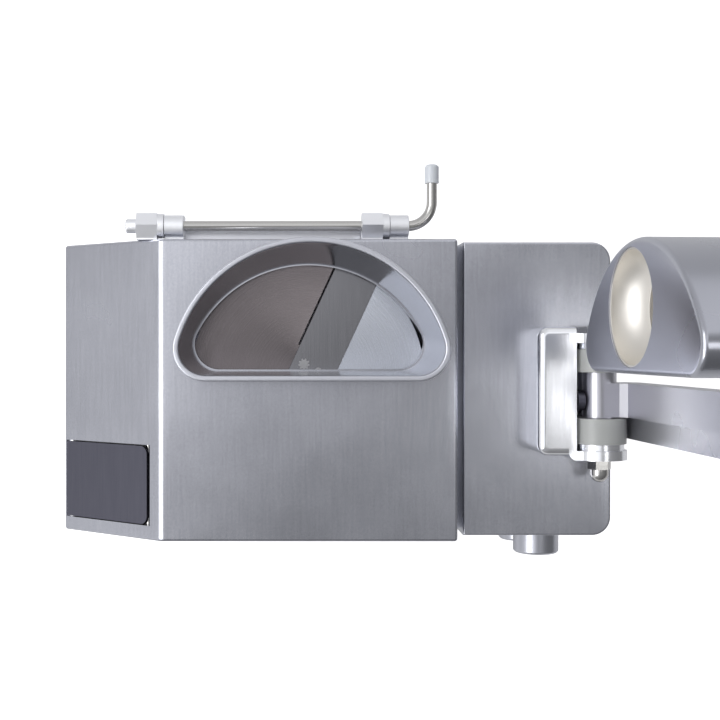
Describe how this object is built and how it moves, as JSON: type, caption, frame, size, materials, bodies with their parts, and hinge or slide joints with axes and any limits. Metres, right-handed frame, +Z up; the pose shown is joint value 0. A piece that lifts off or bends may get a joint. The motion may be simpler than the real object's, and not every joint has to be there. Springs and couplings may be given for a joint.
{
  "type": "vegetable cutting machine",
  "caption": "Table-top vegetable cutting machine: aluminium housing, hinged lid with half-moon hopper over a slicing disc, drive tower and swing lever with a pusher.",
  "frame": {"origin": "centre of the whole machine's footprint box, on the table under the feet", "axes": "+Z up, +X from the outlet towards the drive tower, +Y towards the lid's hinge at the back"},
  "size_m": [0.6064, 0.3866, 0.869],
  "materials": {
    "satin_aluminium": "satin brushed",
    "polished_aluminium": "polished cast",
    "cast_aluminium": "fine blasted",
    "disc_aluminium": "turned, dull",
    "blade_steel": "ground",
    "stainless_steel": "bright drawn",
    "dark_steel": "dark satin",
    "white_plastic": "natural, slightly translucent",
    "cream_plastic": "smooth",
    "cap_plastic": "pale, slightly translucent",
    "black_plastic": "moulded",
    "black_rubber": "matt",
    "motor_paint": "satin"
  },
  "bodies": {
    "machine": {"base_housing": "satin_aluminium", "outlet_chute": "satin_aluminium", "drive_housing": "satin_aluminium", "base_plate": "stainless_steel", "feet": "black_rubber", "foot_screws": "stainless_steel", "plate_screws": "stainless_steel", "rail_screws": "stainless_steel", "bearing_housing": "cast_aluminium", "spindle_bearings": "stainless_steel", "shaft_seal": "black_rubber", "motor": "motor_paint", "motor_plate": "stainless_steel", "motor_posts": "stainless_steel", "drive_belt": "black_rubber", "switch_bodies": "black_plastic", "cable_gland": "black_plastic", "hinge_block_left": "cast_aluminium", "hinge_block_right": "cast_aluminium", "hinge_rail": "cast_aluminium", "lever_bracket": "polished_aluminium", "collars": "polished_aluminium", "front_bushing": "white_plastic", "rear_bushing": "white_plastic", "lever_bolt": "stainless_steel", "acorn_nut": "stainless_steel"},
    "cutter": {"spindle": "stainless_steel", "spindle_pulley": "dark_steel", "ejector_plate": "cast_aluminium", "slicing_disc": "disc_aluminium", "blade": "blade_steel", "hub_screws": "stainless_steel"},
    "motor_rotor": {"motor_shaft": "stainless_steel", "motor_pulley": "dark_steel"},
    "lid": {"lid_shell": "satin_aluminium", "hopper": "satin_aluminium", "feed_cover": "cast_aluminium", "latch_tray": "stainless_steel", "latch_pin": "stainless_steel", "knuckle_left": "cast_aluminium", "knuckle_right": "cast_aluminium"},
    "latch": {"latch_flap": "dark_steel"},
    "pull_rod": {"hinge_rod": "stainless_steel", "rod_cap": "cap_plastic"},
    "lever": {"lever_arm": "polished_aluminium", "pusher": "polished_aluminium", "feed_tube": "cream_plastic", "handle_grip": "black_plastic", "clamp_bolt": "stainless_steel"},
    "upper_knob": {"upper_knob": "satin_aluminium"},
    "lower_knob": {"lower_knob": "satin_aluminium"}
  },
  "joints": [
    {"name": "lid_tilt", "type": "hinge", "parent": "machine", "child": "lid", "pos_m": [-0.0572, 0.13425, 0.405], "axis": [-1, 0, 0], "range_deg": [0, 95]},
    {"name": "rod_pull", "type": "slide", "parent": "machine", "child": "pull_rod", "axis": [1, 0, 0], "range_m": [0, 0.27]},
    {"name": "pusher_swing", "type": "hinge", "parent": "machine", "child": "lever", "pos_m": [0.2193, -0.01025, 0.417], "axis": [0, -1, 0], "range_deg": [0, 94.2]},
    {"name": "disc_spin", "type": "hinge", "parent": "machine", "child": "cutter", "pos_m": [-0.0572, -0.01025, 0.282], "axis": [0, 0, 1], "continuous": true},
    {"name": "motor_spin", "type": "hinge", "parent": "machine", "child": "motor_rotor", "pos_m": [0.1678, -0.02325, 0.1], "axis": [0, 0, 1], "continuous": true},
    {"name": "latch_lift", "type": "hinge", "parent": "lid", "child": "latch", "pos_m": [-0.21165, -0.01025, 0.40224], "axis": [0, 1, 0], "range_deg": [0, 20]},
    {"name": "upper_knob_turn", "type": "hinge", "parent": "machine", "child": "upper_knob", "pos_m": [0.1782, -0.17725, 0.325], "axis": [0, 1, 0], "range_deg": [0, 270]},
    {"name": "lower_knob_turn", "type": "hinge", "parent": "machine", "child": "lower_knob", "pos_m": [0.1782, -0.17725, 0.242], "axis": [0, 1, 0], "range_deg": [0, 90]}
  ],
  "couplings": [
    {"joint": "motor_spin", "follows": "disc_spin", "ratio": 1.8}
  ]
}
